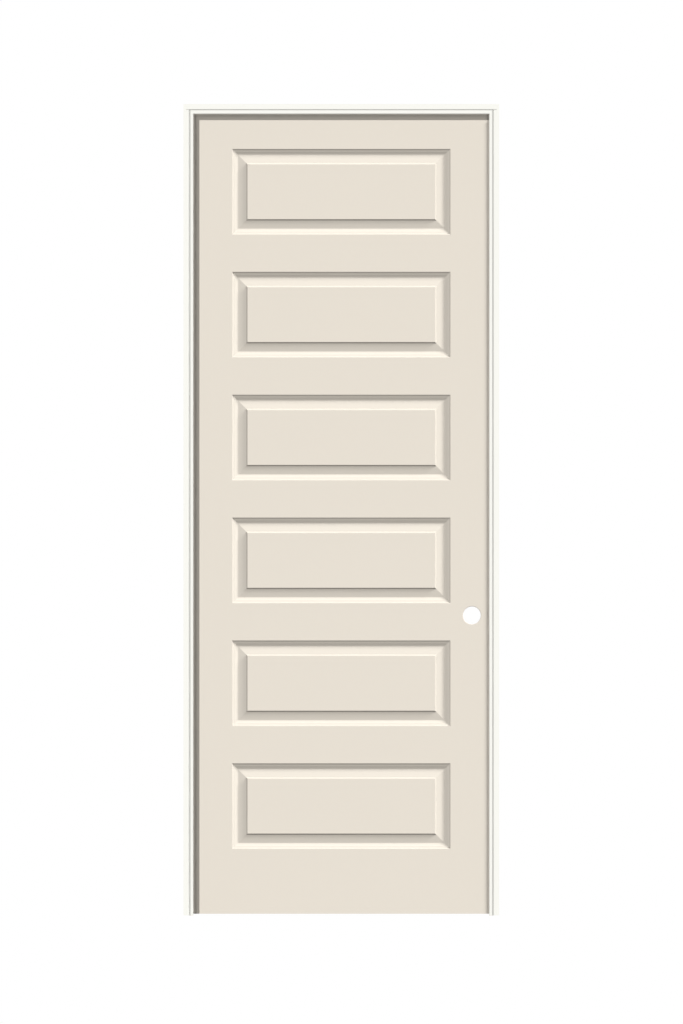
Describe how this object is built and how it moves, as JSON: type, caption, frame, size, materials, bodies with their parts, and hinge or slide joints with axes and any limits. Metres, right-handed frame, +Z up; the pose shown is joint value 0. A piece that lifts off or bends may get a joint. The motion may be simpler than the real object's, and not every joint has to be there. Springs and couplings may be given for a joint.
{
  "type": "prehung molded panel door",
  "caption": "Left-hand prehung interior door: hollow-core slab with pressed horizontal raised panels, bored for a lock, hinged in a flat jamb frame with stops.",
  "frame": {"origin": "on the flat back of the hinge jamb at floor level, in the middle of the jamb's depth", "axes": "+X from the hinge jamb to the latch jamb, +Y to the pull side where the door opens, +Z up"},
  "size_m": [0.9594, 0.1374, 2.4659],
  "materials": {
    "primed_frame": "satin",
    "primed_skin": "satin",
    "raw_wood": "matte",
    "hinge_steel": "satin"
  },
  "bodies": {
    "frame": {"hinge_jamb": "primed_frame", "latch_jamb": "primed_frame", "head_jamb": "primed_frame", "hinge_stop": "primed_frame", "latch_stop": "primed_frame", "head_stop": "primed_frame", "jamb_leaf_1": "hinge_steel", "jamb_leaf_2": "hinge_steel", "jamb_leaf_3": "hinge_steel", "jamb_leaf_4": "hinge_steel"},
    "door": {"push_skin": "primed_skin", "pull_skin": "primed_skin", "hinge_stile": "raw_wood", "lock_stile": "raw_wood", "top_rail": "raw_wood", "bottom_rail": "raw_wood", "lock_block": "raw_wood", "door_leaf_1": "hinge_steel", "door_leaf_2": "hinge_steel", "door_leaf_3": "hinge_steel", "door_leaf_4": "hinge_steel"}
  },
  "joints": [
    {"name": "door_swing", "type": "hinge", "parent": "frame", "child": "door", "pos_m": [0.02, 0.0739, 0], "axis": [0, 0, 1], "range_deg": [0, 180]}
  ]
}
